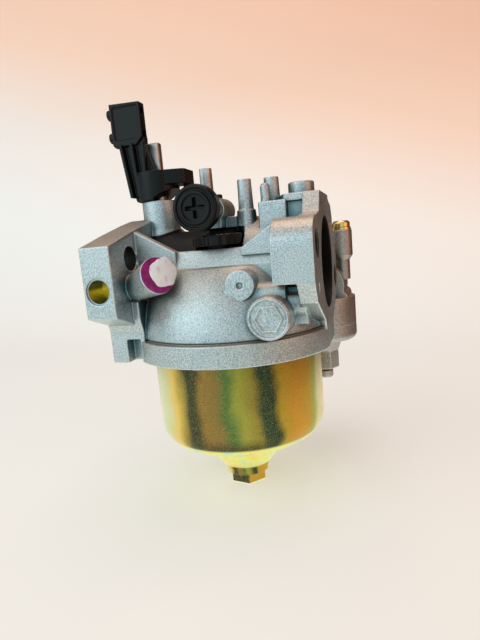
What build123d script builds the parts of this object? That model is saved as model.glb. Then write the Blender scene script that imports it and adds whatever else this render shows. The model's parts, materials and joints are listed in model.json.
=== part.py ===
from build123d import *
import os
from math import cos, radians, sin

# Carburetor for a small single-cylinder engine, in millimetres.
# Origin of the written pieces: centre of the bore at the engine flange face.
# +X runs along the bore to the air cleaner, +Y to the fuel valve side, +Z up.
# Sizes below count from the crossing of the bore and the bowl axis; save() moves each piece.

os.makedirs("parts", exist_ok=True)

# ---------------------------------------------------------------- driving dimensions
GAP = 0.05  # radial running clearance between a shaft and its hole

STUD_PITCH = 42.0
STUD_TILT = 15.5  # degrees; the near stud sits higher than the far one
STUD_HOLE_R = 3.3
STUD_Y = STUD_PITCH / 2 * cos(radians(STUD_TILT))
STUD_Z = STUD_PITCH / 2 * sin(radians(STUD_TILT))

ENGINE_FACE_X = -30.0
ENGINE_BACK_X = -21.5
AIR_FACE_X = 28.5
AIR_BACK_X = 24.0

THROTTLE_BORE_R = 9.0
VENTURI_R = 7.0
AIR_BORE_R = 12.5
THROTTLE_TUBE_R = 12.0
AIR_TUBE_R = 14.4

WEB_Y = STUD_Y - STUD_HOLE_R  # half width of the block between the two stud paths
DECK_Z = 6.2

DRUM_R = 28.3
DRUM_TOP_R = 20.8
DRUM_TOP_Z = 1.4
RIM_R = 29.6
RIM_Z = -23.0
RIM_TOP_Z = -17.2
LEFT_END_X = -24.0  # the float chamber stops here, clear of the engine flange
FOOT_RIGHT_X = -19.6
CHAMBER_R = 23.2
CHAMBER_ROOF_Z = -15.0

POST_R = 5.5
POST_END_Z = -57.2

BOWL_R = 24.9
BOWL_WALL = 1.0
BOWL_TOP_Z = -20.6
BOWL_SHOULDER_Z = -48.2
BOWL_SHOULDER_R = 7.0
BOWL_CONE_Z = -52.6
BOWL_CONE_R = 13.5
BOWL_FLOOR_Z = -59.8
BOWL_FLOOR_R = 7.6

THROTTLE_X = -20.4
THROTTLE_SHAFT_R = 2.0
THROTTLE_BOSS_R = 5.4
THROTTLE_BOSS_Z = 21.5
THROTTLE_SHAFT_TOP_Z = 38.4
THROTTLE_PLATE_T = 0.8

CHOKE_X = 22.5
CHOKE_SHAFT_R = 2.0
CHOKE_PLATE_T = 0.8
TOP_PLATE_Z = 19.0
TOP_PLATE_T = 1.9

STOP_SCREW_X = -1.2
STOP_SCREW_Z = 16.8
STOP_SCREW_R = 2.0
STOP_HEAD_R = 5.95

PILOT_JET_X = 0.7
PILOT_JET_Y = -11.2
PILOT_JET_R = 6.9

VALVE_X = 22.3
VALVE_Y = 32.5
VALVE_Z = -10.0
CUP_R = 11.5
CUP_TOP_Z = -23.4
CUP_SEAT_H = 9.7


# ---------------------------------------------------------------- shared helpers
def across(x):
    """Plane square to the bore: sketch x is +Y, sketch y is +Z, extrude goes to +X."""
    return Plane(origin=(x, 0, 0), x_dir=(0, 1, 0), z_dir=(1, 0, 0))


def near(y):
    """Plane facing the near side: sketch x is +X, sketch y is +Z, extrude goes to -Y."""
    return Plane(origin=(0, y, 0), x_dir=(1, 0, 0), z_dir=(0, -1, 0))


def far(y):
    """Plane facing the far side: sketch x is -X, sketch y is +Z, extrude goes to +Y."""
    return Plane(origin=(0, y, 0), x_dir=(-1, 0, 0), z_dir=(0, 1, 0))


def level(z):
    """Horizontal plane: extrude goes up."""
    return Plane.XY.offset(z)


def upright(x, y, z):
    """Horizontal plane whose own origin sits at x, y: extrude goes up."""
    return Plane(origin=(x, y, z))


def save(part, name):
    """Label a finished piece and write it as its own STEP file, in the frame of the engine flange."""
    placed = Pos(-ENGINE_FACE_X, 0, 0) * part
    placed.label = name
    export_step(placed, "parts/" + name + ".step")


# ---------------------------------------------------------------- pilot screw axis
PILOT_MOUTH = Vector(-11.1, -26.5, 0.9)
PILOT_DIR = Vector(0.82, -0.50, 0.27).normalized()
PILOT_BOSS_R = 4.8
PILOT_BOSS_LENGTH = 13.0
PILOT_PLANE = Plane(origin=PILOT_MOUTH, z_dir=PILOT_DIR)

# ---------------------------------------------------------------- carburetor body
DISC_X, DISC_Z, DISC_R = 16.7, -11.2, 5.35
BUTTON_X, BUTTON_Z, BUTTON_R = 9.4, -3.1, 3.8
VENT_X, VENT_Y = -12.5, 21.0
VENT_R = 2.3
PIN_X, PIN_Y = 7.9, -6.0
FLOAT_PIN_Y = 19.5
FLOAT_PIN_Z = -19.3
FLOAT_PIN_R = 0.75
NEEDLE_Y = 13.6
SEAT_R = 2.6
SEAT_TOP_Z = -8.0
NOZZLE_R = 2.0
NOZZLE_TOP_Z = -3.6
MAIN_JET_TOP_Z = -38.0
BOLT_R = 3.4
BOLT_END_Z = -47.0
SIDE_HOLE_R = 3.45
SIDE_HOLE_X, SIDE_HOLE_Z = -26.0, -2.0
PLUG_X, PLUG_Y = 30.4, 31.0
HOUSING_FACE_Y = 44.6
HOUSING_R = 8.5
COVER_EARS = ((-VALVE_X - 7.2, VALVE_Z - 4.2), (-VALVE_X + 7.2, VALVE_Z + 4.2))
COVER_EAR_R = 2.4


DRAIN_PLANE = Plane(origin=(0, 17.6, -52.2), x_dir=(1, 0, 0), z_dir=(0, 0.36, -0.933))
BOLT_HEX_AF = 10.2
BOLT_HEAD_H = 5.4
BOLT_FLANGE_T = 1.7
BOLT_TURN = -13.0  # degrees the hexagon is turned from square to the bore

FLOAT_R = 19.5
FLOAT_HOLE_R = 10.0
FLOAT_H = 12.0
FLOAT_BOTTOM_Z = -37.0
NEEDLE_R = 1.3
NEEDLE_FOOT_Z = -19.6

PLATE_SCREW_Z = 4.2
PLATE_SCREW_R = 0.9
LEVER_FOOT_Z = 21.7
LEVER_TOP_Z = 30.0
HUB_R = 6.3
FINGER_Y = 2.4
FINGER_T = 2.2
FINGER_TIP_X = -2.0
STOP_ARM_X = -10.6
HEAD_T = 3.2
HEAD_LEFT_X = -31.5
HEAD_RIGHT_X = -21.8
HEAD_Y = -1.2 - HEAD_T / 2
ROD_HOLE_R = 1.0
ROD_HOLE_Z = 47.4
SPRING_HOLE_Z = 40.9
CHOKE_LEVER_Z = 15.0
CHOKE_LEVER_ANGLE = 84.0
CHOKE_ROD_R = 13.4

STOP_HEAD_Y = -18.6
STOP_HEAD_T = 3.6
STOP_BOSS_Y = -9.0

with BuildPart() as body:
    # float chamber: a rim and a drum with a domed side
    with BuildSketch(level(RIM_Z)):
        Circle(RIM_R)
    extrude(amount=RIM_TOP_Z - RIM_Z)
    with BuildSketch(Plane.XZ):
        with BuildLine():
            groove_r = DRUM_R - 0.4
            groove_top = RIM_TOP_Z + 0.5
            Polyline(
                (DRUM_TOP_R, DRUM_TOP_Z), (0, DRUM_TOP_Z), (0, RIM_TOP_Z - 1),
                (groove_r, RIM_TOP_Z - 1), (groove_r, groove_top), (DRUM_R, groove_top),
            )
            ThreePointArc((DRUM_R, groove_top), (26.0, -7.0), (DRUM_TOP_R, DRUM_TOP_Z))
        make_face()
    revolve(axis=Axis.Z)
    # both ends of the chamber are cut square, clear of the two flanges
    with BuildSketch(level(RIM_Z - 1)):
        with Locations((LEFT_END_X - 10, 0), (AIR_FACE_X + 10, 0)):
            Rectangle(20, 70)
    extrude(amount=DRUM_TOP_Z - RIM_Z + 2, mode=Mode.SUBTRACT)

    # engine flange: a lozenge that looks the same after half a turn about the bore
    with BuildSketch(across(ENGINE_FACE_X)):
        with BuildLine():
            Polyline(
                (-30.9, -9.0), (-30.9, 9.3), (-19.7, 12.4), (-8.4, 15.2), (-2.2, 16.5),
                (7.9, 17.2), (30.9, 9.0), (30.9, -9.3), (19.7, -12.4), (8.4, -15.2),
                (2.2, -16.5), (-7.9, -17.2), (-30.9, -9.0),
            )
        make_face()
    extrude(amount=ENGINE_BACK_X - ENGINE_FACE_X)
    # foot that runs from the near lug down to the chamber rim
    with BuildSketch(across(ENGINE_FACE_X)):
        with BuildLine():
            Polyline(
                (-22.6, -5.9), (-22.6, -10.6), (-21.2, -14.2), (-21.2, RIM_Z),
                (-2.0, RIM_Z), (-2.0, -5.9), (-22.6, -5.9),
            )
        make_face()
    extrude(amount=FOOT_RIGHT_X - ENGINE_FACE_X)

    # bore tube, narrow at the throttle and wide at the air horn
    with BuildSketch(across(ENGINE_BACK_X - 1)):
        Circle(THROTTLE_TUBE_R)
    extrude(amount=30)
    with BuildSketch(across(6)):
        Circle(AIR_TUBE_R)
    extrude(amount=AIR_FACE_X - 6)

    # block between the two stud paths, with its deck just above the bore centre
    with BuildSketch(Plane.YZ.offset(-14.0)):
        with BuildLine():
            Polyline(
                (-WEB_Y, 1.8), (-WEB_Y + 1.9, DECK_Z), (WEB_Y - 1.9, DECK_Z), (WEB_Y, 1.8),
                (WEB_Y, -15.0), (-WEB_Y, -15.0), (-WEB_Y, 1.8),
            )
        make_face()
    extrude(amount=34.0)
    # ramp from the deck up to the box round the near stud
    with BuildSketch(near(-8.0)):
        with BuildLine():
            Polyline((8.5, 4.0), (8.5, 6.0), (18.5, 12.4), (28.0, 12.4), (28.0, 4.0), (8.5, 4.0))
        make_face()
    extrude(amount=WEB_Y - 8.0)

    # gussets that brace the engine flange
    for y_start in (-WEB_Y, WEB_Y - 3.0):
        with BuildSketch(Plane.XZ.offset(-y_start - 3.0)):
            with BuildLine():
                Polyline(
                    (-22.0, 13.0), (-9.9, DECK_Z), (-9.9, 0.9), (-22.0, 0.9), (-22.0, 13.0)
                )
            make_face()
        extrude(amount=3.0)

    # air flange: two stud lugs, a chin down to the rim and a neck up to the top plate
    with BuildSketch(across(AIR_BACK_X)):
        with BuildLine():
            Polyline(
                (-27.0, -3.3), (-27.0, 6.0), (-20.2, 12.2), (-12.0, 13.6), (-8.4, TOP_PLATE_Z),
                (7.5, TOP_PLATE_Z - 0.4), (17.0, 16.3), (19.6, 13.4), (21.5, 7.6), (26.8, 1.0),
                (26.8, -6.0), (20.2, -12.4), (9.0, -17.4), (-9.0, -17.4), (-10.5, -14.9),
                (-24.1, -8.3), (-27.0, -3.3),
            )
        make_face()
    extrude(amount=AIR_FACE_X - AIR_BACK_X)
    # boxes round the two studs on the air side
    box_x = 18.3
    with BuildSketch(across(box_x)):
        with BuildLine():
            Polyline((-27.0, 5.6), (-27.0, -3.3), (-12.0, -3.3), (-12.0, 12.4), (-20.2, 12.4))
            RadiusArc((-20.2, 12.4), (-27.0, 5.6), -6.8)
        make_face()
        with BuildLine():
            Polyline((26.8, -5.6), (26.8, 2.0), (12.0, 2.0), (12.0, -12.4), (20.2, -12.4))
            RadiusArc((20.2, -12.4), (26.8, -5.6), -6.7)
        make_face()
    extrude(amount=AIR_FACE_X - box_x)

    # throttle shaft boss above the bore, and its blind lower bearing
    with Locations((THROTTLE_X, 0, 0)):
        Cylinder(THROTTLE_BOSS_R, THROTTLE_BOSS_Z, align=(Align.CENTER, Align.CENTER, Align.MIN))
        Cone(9.6, THROTTLE_BOSS_R, 13.0, align=(Align.CENTER, Align.CENTER, Align.MIN))
        Cylinder(5.0, 14.0, align=(Align.CENTER, Align.CENTER, Align.MAX))

    # stop screw boss on its pedestal
    with Locations((STOP_SCREW_X - 0.2, -1.5, 12.0)):
        Box(12.0, 7.0, 5.6)
    with Locations((STOP_SCREW_X, -5.0, 12.4)):
        Box(5.0, 8.0, 6.8)
    with BuildSketch(near(2.0)):
        with Locations((STOP_SCREW_X, STOP_SCREW_Z)):
            Circle(3.6)
    extrude(amount=2.0 - STOP_BOSS_Y)

    # cast pin on a flared base, then a block that carries two more cast pins
    with Locations((PIN_X, PIN_Y, 8.0)):
        Cone(3.2, 2.6, 8.0, align=(Align.CENTER, Align.CENTER, Align.MIN))
    with Locations((PIN_X, PIN_Y, 15.0)):
        Cone(2.15, 1.9, 9.2, align=(Align.CENTER, Align.CENTER, Align.MIN))
    with Locations((15.9, -4.0, 12.0)):
        Box(7.4, 12.0, 11.0)
    with Locations((14.0, -8.0, 17.0)):
        Cylinder(1.3, 4.6, align=(Align.CENTER, Align.CENTER, Align.MIN))
        with Locations((0, 0, 4.6)):
            Cone(1.3, 0.8, 0.7, align=(Align.CENTER, Align.CENTER, Align.MIN))
    with Locations((14.6, -2.0, 17.0)):
        Cone(2.25, 2.05, 7.4, align=(Align.CENTER, Align.CENTER, Align.MIN))

    # top plate that bridges the choke lever pocket
    with BuildSketch(level(TOP_PLATE_Z - TOP_PLATE_T)):
        with BuildLine():
            Polyline(
                (AIR_FACE_X, -8.4), (18.9, -8.4), (15.8, -1.0), (15.8, 6.0), (19.0, 10.5),
                (AIR_FACE_X, 10.5), (AIR_FACE_X, -8.4),
            )
        make_face()
    extrude(amount=TOP_PLATE_T)

    # wall that closes the choke lever pocket on the near side, set back under the plate
    with Locations((21.6, -5.2, 15.4)):
        Box(7.0, 3.4, 4.8)

    # passage rib and the two round bosses low on the near side
    with BuildSketch(across(9.5)):
        with Locations((-19.6, -6.0)):
            Circle(3.1)
    extrude(amount=11.0)
    with BuildSketch(across(20.0)):
        with Locations((-18.0, -8.3)):
            Circle(3.7)
    extrude(amount=5.0)
    with Locations((21.5, -14.0, -9.5)):
        Box(7.0, 8.0, 9.6)
    with BuildSketch(near(-18.0)):
        with Locations((DISC_X, DISC_Z)):
            Circle(DISC_R)
    extrude(amount=9.2)
    with BuildSketch(near(-27.0)):
        with Locations((DISC_X, DISC_Z)):
            Circle(DISC_R - 0.35)
            Circle(DISC_R - 0.8, mode=Mode.SUBTRACT)
            RegularPolygon(3.7, 6)
            RegularPolygon(3.15, 6, mode=Mode.SUBTRACT)
    extrude(amount=0.55)
    with BuildSketch(near(-16.0)):
        with Locations((BUTTON_X, BUTTON_Z)):
            Circle(BUTTON_R)
    extrude(amount=8.3)
    with BuildSketch(near(-24.3)):
        with Locations((BUTTON_X, BUTTON_Z)):
            Circle(0.8)
    extrude(amount=-0.7, mode=Mode.SUBTRACT)

    # boss for the pilot screw, aimed up and away from the engine flange
    with BuildSketch(PILOT_PLANE):
        Circle(PILOT_BOSS_R)
    extrude(amount=-PILOT_BOSS_LENGTH, taper=6)

    # foot of the vent tube
    with Locations((VENT_X, VENT_Y, -8.0)):
        Cylinder(4.4, 14.0, align=(Align.CENTER, Align.CENTER, Align.MIN))

    # fuel valve housing and the body of the sediment cup on the far side
    with BuildSketch(far(26.0)):
        with Locations((-VALVE_X, VALVE_Z)):
            Circle(HOUSING_R)
        with Locations(*COVER_EARS):
            Circle(COVER_EAR_R)
    extrude(amount=HOUSING_FACE_Y - 26.0)
    with Locations((VALVE_X, VALVE_Y, CUP_TOP_Z)):
        Cylinder(CUP_R, CUP_SEAT_H, align=(Align.CENTER, Align.CENTER, Align.MIN))
    with Locations((17.0, 23.2, -8.0)):
        Box(15.0, 10.4, 8.0)
    with Locations((PLUG_X, PLUG_Y, -8.0)):
        Cylinder(2.3, 8.0, align=(Align.CENTER, Align.CENTER, Align.MIN))
    with Locations((PLUG_X, PLUG_Y, -1.8)):
        Cone(2.0, 3.4, 2.0, align=(Align.CENTER, Align.CENTER, Align.MIN))
    with Locations((PLUG_X, PLUG_Y, 0.2)):
        Cylinder(3.4, 8.4, align=(Align.CENTER, Align.CENTER, Align.MIN))

    # float chamber roof and the recess that takes the bowl and its gasket
    with BuildSketch(level(RIM_Z)):
        Circle(CHAMBER_R)
    extrude(amount=CHAMBER_ROOF_Z - RIM_Z, mode=Mode.SUBTRACT)
    with BuildSketch(level(RIM_Z)):
        Circle(BOWL_R + 0.15)
        Circle(CHAMBER_R - 1, mode=Mode.SUBTRACT)
    extrude(amount=BOWL_TOP_Z + 1.0 - RIM_Z, mode=Mode.SUBTRACT)
    # central post that the bowl is bolted up to
    with BuildSketch(level(POST_END_Z)):
        Circle(POST_R)
    extrude(amount=CHAMBER_ROOF_Z - POST_END_Z + 1)
    with Locations((0, 0, -19.0)):
        Cone(POST_R, 8.5, 4.5, align=(Align.CENTER, Align.CENTER, Align.MIN))
    # hinge posts for the float pin
    for x in (-5.2, 5.2):
        with Locations((x, FLOAT_PIN_Y, CHAMBER_ROOF_Z + 0.5)):
            Box(2.0, 3.6, 6.6, align=(Align.CENTER, Align.CENTER, Align.MAX))

    # bore: parallel throttle end, smooth venturi, wide air horn
    with BuildSketch(Plane.XZ):
        with BuildLine():
            Polyline(
                (-4.0, VENTURI_R + 0.6), (-9.0, THROTTLE_BORE_R), (ENGINE_FACE_X - 1, THROTTLE_BORE_R),
                (ENGINE_FACE_X - 1, 0), (AIR_FACE_X + 1, 0), (AIR_FACE_X + 1, AIR_BORE_R),
                (12.0, AIR_BORE_R), (6.0, VENTURI_R + 1.8),
            )
            ThreePointArc((6.0, VENTURI_R + 1.8), (1.2, VENTURI_R), (-4.0, VENTURI_R + 0.6))
        make_face()
    revolve(axis=Axis.X, mode=Mode.SUBTRACT)

    # clear path for each mounting stud through both flanges
    with BuildSketch(across(ENGINE_FACE_X - 1)):
        with Locations((-STUD_Y, STUD_Z), (STUD_Y, -STUD_Z)):
            Circle(STUD_HOLE_R)
    extrude(amount=AIR_FACE_X - ENGINE_FACE_X + 2, mode=Mode.SUBTRACT)
    # cross hole in the near lug, which meets the stud path
    with BuildSketch(near(-32.0)):
        with Locations((SIDE_HOLE_X, SIDE_HOLE_Z)):
            Circle(SIDE_HOLE_R)
    extrude(amount=-11.0, mode=Mode.SUBTRACT)
    # slot between the foot and the rim, open at the bottom
    with BuildSketch(level(RIM_Z - 1)):
        with Locations((-23.1, -23.6)):
            Rectangle(4.2, 12.0)
    extrude(amount=7.6, mode=Mode.SUBTRACT)

    # pocket under the top plate, where the choke lever swings
    with BuildSketch(level(AIR_TUBE_R + 0.1)):
        with Locations((CHOKE_X, 6.6)):
            Rectangle(6.8, 19.8)
        with Locations((CHOKE_X, 0)):
            Circle(3.2)
        with BuildLine():
            swing = [radians(CHOKE_LEVER_ANGLE + a) for a in (-6, 20, 45, 65, 84)]
            swing_r = CHOKE_ROD_R + 2.6
            rim = [(CHOKE_X + swing_r * cos(a), swing_r * sin(a)) for a in swing]
            Polyline((CHOKE_X + 3.0, -1.0), *rim, (CHOKE_X - 1.0, -2.6), (CHOKE_X + 3.0, -1.0))
        make_face()
    extrude(amount=TOP_PLATE_Z - TOP_PLATE_T - AIR_TUBE_R - 0.1, mode=Mode.SUBTRACT)

    # shaft holes, all blind at the bottom
    with Locations((THROTTLE_X, 0, -12.4)):
        Cylinder(
            THROTTLE_SHAFT_R + GAP, 40.0, align=(Align.CENTER, Align.CENTER, Align.MIN),
            mode=Mode.SUBTRACT,
        )
    with Locations((THROTTLE_X, 0, THROTTLE_BOSS_Z - 2.0)):
        Cylinder(4.0, 4.0, align=(Align.CENTER, Align.CENTER, Align.MIN), mode=Mode.SUBTRACT)
    with Locations((CHOKE_X, 0, -14.6)):
        Cylinder(
            CHOKE_SHAFT_R + GAP, 40.0, align=(Align.CENTER, Align.CENTER, Align.MIN),
            mode=Mode.SUBTRACT,
        )

    # idle passage for the pilot jet, with room round its cap
    with Locations((PILOT_JET_X, PILOT_JET_Y, -6.0)):
        Cylinder(2.05, 14.0, align=(Align.CENTER, Align.CENTER, Align.MIN), mode=Mode.SUBTRACT)
    with Locations((PILOT_JET_X, PILOT_JET_Y, DECK_Z)):
        Cylinder(
            PILOT_JET_R + 0.4, 5.4, align=(Align.CENTER, Align.CENTER, Align.MIN),
            mode=Mode.SUBTRACT,
        )
    # tapped hole for the throttle stop screw
    with BuildSketch(near(4.0)):
        with Locations((STOP_SCREW_X, STOP_SCREW_Z)):
            Circle(STOP_SCREW_R + GAP)
    extrude(amount=5.0 - STOP_BOSS_Y, mode=Mode.SUBTRACT)
    # pilot screw hole with a counterbore for its cap
    with BuildSketch(PILOT_PLANE):
        Circle(1.9 + GAP)
    extrude(amount=-9.8, mode=Mode.SUBTRACT)
    with BuildSketch(PILOT_PLANE):
        Circle(3.2)
    extrude(amount=-7.0, mode=Mode.SUBTRACT)

    # main jet, nozzle and bowl bolt share the bore of the post
    with Locations((0, 0, POST_END_Z - 1)):
        Cylinder(
            BOLT_R + GAP, BOLT_END_Z - POST_END_Z + 3, align=(Align.CENTER, Align.CENTER, Align.MIN),
            mode=Mode.SUBTRACT,
        )
    with Locations((0, 0, POST_END_Z)):
        Cylinder(
            2.5, MAIN_JET_TOP_Z - POST_END_Z, align=(Align.CENTER, Align.CENTER, Align.MIN),
            mode=Mode.SUBTRACT,
        )
        Cylinder(
            NOZZLE_R, -POST_END_Z, align=(Align.CENTER, Align.CENTER, Align.MIN),
            mode=Mode.SUBTRACT,
        )
    # fuel port through the post, between the bolt and the jet
    with BuildSketch(near(POST_R + 1)):
        with Locations((0, BOLT_END_Z + 2.6)):
            Circle(1.2)
    extrude(amount=2 * POST_R + 2, mode=Mode.SUBTRACT)

    # needle seat, its feed from the fuel valve, and the float pin hole
    with Locations((0, NEEDLE_Y, CHAMBER_ROOF_Z - 1)):
        Cylinder(
            SEAT_R, SEAT_TOP_Z - CHAMBER_ROOF_Z + 1, align=(Align.CENTER, Align.CENTER, Align.MIN),
            mode=Mode.SUBTRACT,
        )
    with BuildSketch(across(-6.4)):
        with Locations((FLOAT_PIN_Y, FLOAT_PIN_Z)):
            Circle(FLOAT_PIN_R + GAP)
    extrude(amount=12.8, mode=Mode.SUBTRACT)
    # vent tube socket, open to the chamber
    with Locations((VENT_X, VENT_Y, 0.0)):
        Cylinder(VENT_R, 8.0, align=(Align.CENTER, Align.CENTER, Align.MIN), mode=Mode.SUBTRACT)
    with Locations((VENT_X + 2.0, VENT_Y - 3.5, CHAMBER_ROOF_Z - 1)):
        Cylinder(1.2, 8.0, align=(Align.CENTER, Align.CENTER, Align.MIN), mode=Mode.SUBTRACT)
    with Locations((VENT_X, VENT_Y, -8.0)):
        Cylinder(1.2, 9.0, align=(Align.CENTER, Align.CENTER, Align.MIN), mode=Mode.SUBTRACT)
    # idle air inlet in the face of the air flange
    with BuildSketch(across(AIR_FACE_X + 1)):
        with Locations((-20.2, -5.4)):
            Circle(1.3)
    extrude(amount=-9.0, mode=Mode.SUBTRACT)

    # fuel valve pocket, inlet bore, sediment cup thread and gold plug screw
    with BuildSketch(far(HOUSING_FACE_Y)):
        with Locations((-VALVE_X, VALVE_Z)):
            Circle(7.0)
    extrude(amount=-2.6, mode=Mode.SUBTRACT)
    with BuildSketch(far(HOUSING_FACE_Y)):
        with Locations(*COVER_EARS):
            Circle(1.0 + GAP)
    extrude(amount=-6.0, mode=Mode.SUBTRACT)
    with BuildSketch(across(VALVE_X - 16.0)):
        with Locations((VALVE_Y, VALVE_Z)):
            Circle(2.6)
    extrude(amount=14.0, mode=Mode.SUBTRACT)
    with Locations((VALVE_X, VALVE_Y, CUP_TOP_Z - 1)):
        Cylinder(7.6, 4.0, align=(Align.CENTER, Align.CENTER, Align.MIN), mode=Mode.SUBTRACT)
        Cylinder(1.5, 12.0, align=(Align.CENTER, Align.CENTER, Align.MIN), mode=Mode.SUBTRACT)
    with Locations((PLUG_X, PLUG_Y, 2.0)):
        Cylinder(1.5 + GAP, 8.0, align=(Align.CENTER, Align.CENTER, Align.MIN), mode=Mode.SUBTRACT)
save(body.part, "carburetor_body")

# ---------------------------------------------------------------- float bowl and its fastening
with BuildPart() as float_bowl:
    with BuildSketch(Plane.XZ):
        with BuildLine():
            Polyline(
                (0, BOWL_TOP_Z), (BOWL_R, BOWL_TOP_Z), (BOWL_R, BOWL_SHOULDER_Z),
                (BOWL_CONE_R, BOWL_CONE_Z), (BOWL_FLOOR_R, BOWL_FLOOR_Z), (0, BOWL_FLOOR_Z),
                (0, BOWL_TOP_Z),
            )
        make_face()
    revolve(axis=Axis.Z)
    shoulder = float_bowl.edges().filter_by(GeomType.CIRCLE).group_by(Axis.Z)[2]
    fillet(shoulder, BOWL_SHOULDER_R)
    valley = float_bowl.edges().filter_by(GeomType.CIRCLE).group_by(Axis.Z)[1]
    fillet(valley, 2.0)
    offset(amount=-BOWL_WALL, openings=float_bowl.faces().sort_by(Axis.Z)[-1])
    with Locations((0, 0, BOWL_FLOOR_Z)):
        Cylinder(BOLT_R + 0.3, 4.0, mode=Mode.SUBTRACT)
    # flat seat for the drain screw on the far slope
    with BuildSketch(DRAIN_PLANE):
        Circle(4.4)
    extrude(amount=-2.2)
    with BuildSketch(DRAIN_PLANE):
        Circle(2.0 + GAP)
    extrude(amount=-6.0, both=True, mode=Mode.SUBTRACT)
save(float_bowl.part, "float_bowl")

with BuildPart() as bowl_gasket:
    with BuildSketch(level(BOWL_TOP_Z)):
        Circle(BOWL_R)
        Circle(CHAMBER_R, mode=Mode.SUBTRACT)
    extrude(amount=1.0)
save(bowl_gasket.part, "bowl_gasket")

with BuildPart() as bowl_bolt_washer:
    with BuildSketch(level(BOWL_FLOOR_Z - 1.0)):
        Circle(7.3)
        Circle(BOLT_R + 0.3, mode=Mode.SUBTRACT)
    extrude(amount=1.0)
save(bowl_bolt_washer.part, "bowl_bolt_washer")

with BuildPart() as bowl_bolt:
    with BuildSketch(level(BOWL_FLOOR_Z - 1.0)):
        RegularPolygon(BOLT_HEX_AF / 2, 6, major_radius=False, rotation=BOLT_TURN)
    extrude(amount=-BOLT_HEAD_H)
    with BuildSketch(level(BOWL_FLOOR_Z - 1.0 - BOLT_FLANGE_T)):
        Circle(7.0)
    extrude(amount=BOLT_FLANGE_T)
    with BuildSketch(level(BOWL_FLOOR_Z - 1.0)):
        Circle(BOLT_R)
    extrude(amount=BOLT_END_Z - BOWL_FLOOR_Z + 1.0)
    chamfer(bowl_bolt.faces().sort_by(Axis.Z)[-1].edges(), 0.5)
    chamfer(bowl_bolt.faces().sort_by(Axis.Z)[0].edges(), 0.5)
save(bowl_bolt.part, "bowl_bolt")

with BuildPart() as drain_washer:
    with BuildSketch(DRAIN_PLANE):
        Circle(3.8)
        Circle(2.0 + GAP, mode=Mode.SUBTRACT)
    extrude(amount=0.8)
save(drain_washer.part, "drain_washer")

with BuildPart() as drain_screw:
    with BuildSketch(DRAIN_PLANE.offset(0.8)):
        RegularPolygon(3.5, 6, major_radius=False)
    extrude(amount=3.0)
    with BuildSketch(DRAIN_PLANE.offset(0.8)):
        Circle(2.0)
    extrude(amount=-4.4)
    with BuildSketch(DRAIN_PLANE.offset(3.8)):
        Rectangle(8.0, 0.9)
    extrude(amount=-1.0, mode=Mode.SUBTRACT)
save(drain_screw.part, "drain_screw")

# ---------------------------------------------------------------- float and needle
with BuildPart() as float_body:
    with BuildSketch(level(FLOAT_BOTTOM_Z)):
        Circle(FLOAT_R)
        Circle(FLOAT_HOLE_R, mode=Mode.SUBTRACT)
    extrude(amount=FLOAT_H)
    fillet(float_body.edges().filter_by(GeomType.CIRCLE), 1.5)
    # hinge arm, with a barrel on the pin and a tongue under the needle
    with Locations((0, FLOAT_PIN_Y - 1.6, FLOAT_BOTTOM_Z + FLOAT_H - 1.0)):
        Box(6.0, 3.2, 5.6, align=(Align.CENTER, Align.CENTER, Align.MIN))
    with Locations((0, NEEDLE_Y - 2.0, NEEDLE_FOOT_Z - 1.0)):
        Box(6.0, FLOAT_PIN_Y - NEEDLE_Y + 2.0, 1.0, align=(Align.CENTER, Align.MIN, Align.MIN))
    with BuildSketch(across(-4.0)):
        with Locations((FLOAT_PIN_Y, FLOAT_PIN_Z)):
            Circle(1.7)
    extrude(amount=8.0)
    with BuildSketch(across(-4.0)):
        with Locations((FLOAT_PIN_Y, FLOAT_PIN_Z)):
            Circle(FLOAT_PIN_R + GAP)
    extrude(amount=8.0, mode=Mode.SUBTRACT)
save(float_body.part, "float")

with BuildPart() as float_pin:
    with BuildSketch(across(-7.4)):
        with Locations((FLOAT_PIN_Y, FLOAT_PIN_Z)):
            Circle(FLOAT_PIN_R)
    extrude(amount=14.8)
save(float_pin.part, "float_pin")

with BuildPart() as needle_seat:
    with BuildSketch(upright(0, NEEDLE_Y, CHAMBER_ROOF_Z - 1.0)):
        Circle(SEAT_R)
    extrude(amount=SEAT_TOP_Z - CHAMBER_ROOF_Z + 1.0)
    with BuildSketch(upright(0, NEEDLE_Y, CHAMBER_ROOF_Z - 1.0)):
        Circle(NEEDLE_R + GAP)
    extrude(amount=4.0, mode=Mode.SUBTRACT)
    with BuildSketch(upright(0, NEEDLE_Y, CHAMBER_ROOF_Z - 1.0)):
        Circle(0.8)
    extrude(amount=9.0, mode=Mode.SUBTRACT)
save(needle_seat.part, "needle_seat")

with BuildPart() as float_needle:
    with BuildSketch(Plane(origin=(0, NEEDLE_Y, 0), x_dir=(1, 0, 0), z_dir=(0, -1, 0))):
        with BuildLine():
            Polyline(
                (0, NEEDLE_FOOT_Z), (0.4, NEEDLE_FOOT_Z), (0.4, NEEDLE_FOOT_Z + 1.2),
                (NEEDLE_R, NEEDLE_FOOT_Z + 1.2), (NEEDLE_R, CHAMBER_ROOF_Z + 1.4),
                (0.5, CHAMBER_ROOF_Z + 2.8), (0, CHAMBER_ROOF_Z + 2.8), (0, NEEDLE_FOOT_Z),
            )
        make_face()
    revolve(axis=Axis((0, NEEDLE_Y, 0), (0, 0, 1)))
save(float_needle.part, "float_needle")

# ---------------------------------------------------------------- jets in the central post
with BuildPart() as main_jet:
    with BuildSketch(level(MAIN_JET_TOP_Z - 5.0)):
        Circle(2.5)
        Circle(0.5, mode=Mode.SUBTRACT)
    extrude(amount=5.0)
    with BuildSketch(level(MAIN_JET_TOP_Z - 5.0)):
        Rectangle(6.0, 0.8)
    extrude(amount=0.8, mode=Mode.SUBTRACT)
save(main_jet.part, "main_jet")

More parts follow.
